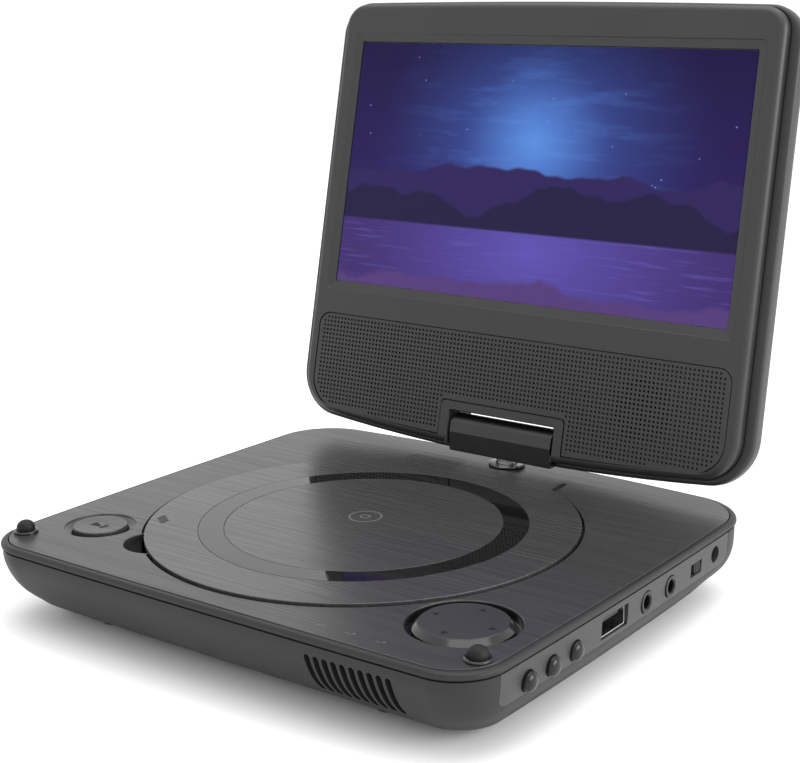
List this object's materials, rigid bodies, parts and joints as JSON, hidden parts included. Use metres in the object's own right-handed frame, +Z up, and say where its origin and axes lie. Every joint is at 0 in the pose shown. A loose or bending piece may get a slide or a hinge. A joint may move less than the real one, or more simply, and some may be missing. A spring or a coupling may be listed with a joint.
{
  "type": "portable dvd player",
  "caption": "Portable disc player with a flat base, round hinged disc lid and a widescreen display on a hinge that swivels and tilts.",
  "frame": {"origin": "on the table plane, at the middle of the whole footprint with the screen open", "axes": "+Z up, +Y from the user towards the hinge and screen, +X to the user's right, towards the sockets"},
  "size_m": [0.1784, 0.1852, 0.1783],
  "materials": {
    "shell": "fine textured charcoal",
    "deck": "brushed across the width, half gloss",
    "panel": "smooth mid grey",
    "gloss": "mirror gloss black",
    "rubber": "soft matte black",
    "black": "plain black",
    "steel": "bright plated steel",
    "board": "green circuit board",
    "cell": "shrink-wrapped battery pack",
    "lens": "clear coated lens",
    "display": "lit display with an indigo picture",
    "module": "display module frame"
  },
  "bodies": {
    "base": {"bottom_casing": "shell", "top_cover": "deck", "port_panel": "panel", "foot_1": "rubber", "foot_2": "rubber", "foot_3": "rubber", "foot_4": "rubber", "bumper_left": "rubber", "bumper_right": "rubber", "casing_screw_1": "steel", "casing_screw_2": "steel", "casing_screw_3": "steel", "casing_screw_4": "steel", "main_board": "board", "battery_pack": "cell", "usb_port": "steel", "headphone_jack": "black", "av_jack": "black", "dc_jack": "black", "switch_body": "black", "disc_well": "black", "loader_chassis": "steel", "spindle_motor": "steel", "guide_rod_1": "steel", "guide_rod_2": "steel", "sled_motor": "steel", "lid_pin_left": "steel", "lid_pin_right": "steel", "swivel_bracket": "steel"},
    "hinge": {"hinge_block": "gloss", "swivel_post": "steel", "swivel_washer": "steel", "tilt_pin_left": "steel", "tilt_pin_right": "steel"},
    "screen": {"screen_bezel": "shell", "screen_back": "shell", "lcd_panel": "module", "display_glass": "display", "speaker_grille": "shell", "speaker_left": "black", "speaker_right": "black", "screen_board": "board", "hinge_arm_left": "steel", "hinge_arm_right": "steel", "screen_screw_left": "steel", "screen_screw_right": "steel"},
    "lid": {"disc_lid": "deck", "lid_ring": "gloss"},
    "side_button_1": {"side_button_1": "panel"},
    "side_button_2": {"side_button_2": "panel"},
    "side_button_3": {"side_button_3": "panel"},
    "play_button": {"play_button": "deck"},
    "nav_spider": {"nav_spider": "black"},
    "nav_pad": {"nav_pad": "deck"},
    "switch_slider": {"switch_slider": "black"},
    "spindle": {"spindle_hub": "black"},
    "sled": {"pickup_sled": "black", "pickup_lens": "lens"},
    "lead_screw": {"lead_screw": "steel"}
  },
  "joints": [
    {"name": "screen_swivel", "type": "hinge", "parent": "base", "child": "hinge", "pos_m": [-0.00025, 0.05529, 0.0346], "axis": [0, 0, 1], "range_deg": [-180, 0]},
    {"name": "screen_tilt", "type": "hinge", "parent": "hinge", "child": "screen", "pos_m": [-0.00025, 0.05529, 0.0346], "axis": [-1, 0, 0], "range_deg": [-102.1, 76]},
    {"name": "lid_hinge", "type": "hinge", "parent": "base", "child": "lid", "pos_m": [-0.00325, 0.04528, 0.0235], "axis": [-1, 0, 0], "range_deg": [0, 65]},
    {"name": "side_button_1_press", "type": "slide", "parent": "base", "child": "side_button_1", "axis": [-1, 0, 0], "range_m": [0, 0.0006], "stiffness_N_per_m": 1500},
    {"name": "side_button_2_press", "type": "slide", "parent": "base", "child": "side_button_2", "axis": [-1, 0, 0], "range_m": [0, 0.0006], "stiffness_N_per_m": 1500},
    {"name": "side_button_3_press", "type": "slide", "parent": "base", "child": "side_button_3", "axis": [-1, 0, 0], "range_m": [0, 0.0006], "stiffness_N_per_m": 1500},
    {"name": "play_button_press", "type": "slide", "parent": "base", "child": "play_button", "axis": [0, 0, -1], "range_m": [0, 0.0006], "stiffness_N_per_m": 1500},
    {"name": "nav_rock_front_back", "type": "hinge", "parent": "base", "child": "nav_spider", "pos_m": [0.06495, -0.06371, 0.0234], "axis": [1, 0, 0], "range_deg": [-2.5, 2.5], "stiffness_Nm_per_rad": 0.15},
    {"name": "nav_rock_left_right", "type": "hinge", "parent": "nav_spider", "child": "nav_pad", "pos_m": [0.06495, -0.06371, 0.0234], "axis": [0, 1, 0], "range_deg": [-2.5, 2.5], "stiffness_Nm_per_rad": 0.15},
    {"name": "switch_slide", "type": "slide", "parent": "base", "child": "switch_slider", "axis": [0, -1, 0], "range_m": [0, 0.0034]},
    {"name": "spindle_turn", "type": "hinge", "parent": "base", "child": "spindle", "pos_m": [-0.00325, -0.01786, 0.0169], "axis": [0, 0, 1], "continuous": true},
    {"name": "sled_slide", "type": "slide", "parent": "base", "child": "sled", "axis": [1, 0, 0], "range_m": [0, 0.033]},
    {"name": "lead_screw_turn", "type": "hinge", "parent": "base", "child": "lead_screw", "pos_m": [0.0083, -0.03422, 0.0105], "axis": [1, 0, 0], "range_deg": [0, 3965]}
  ],
  "couplings": [
    {"joint": "lead_screw_turn", "follows": "sled_slide", "rad_per_m": 2094.4}
  ]
}
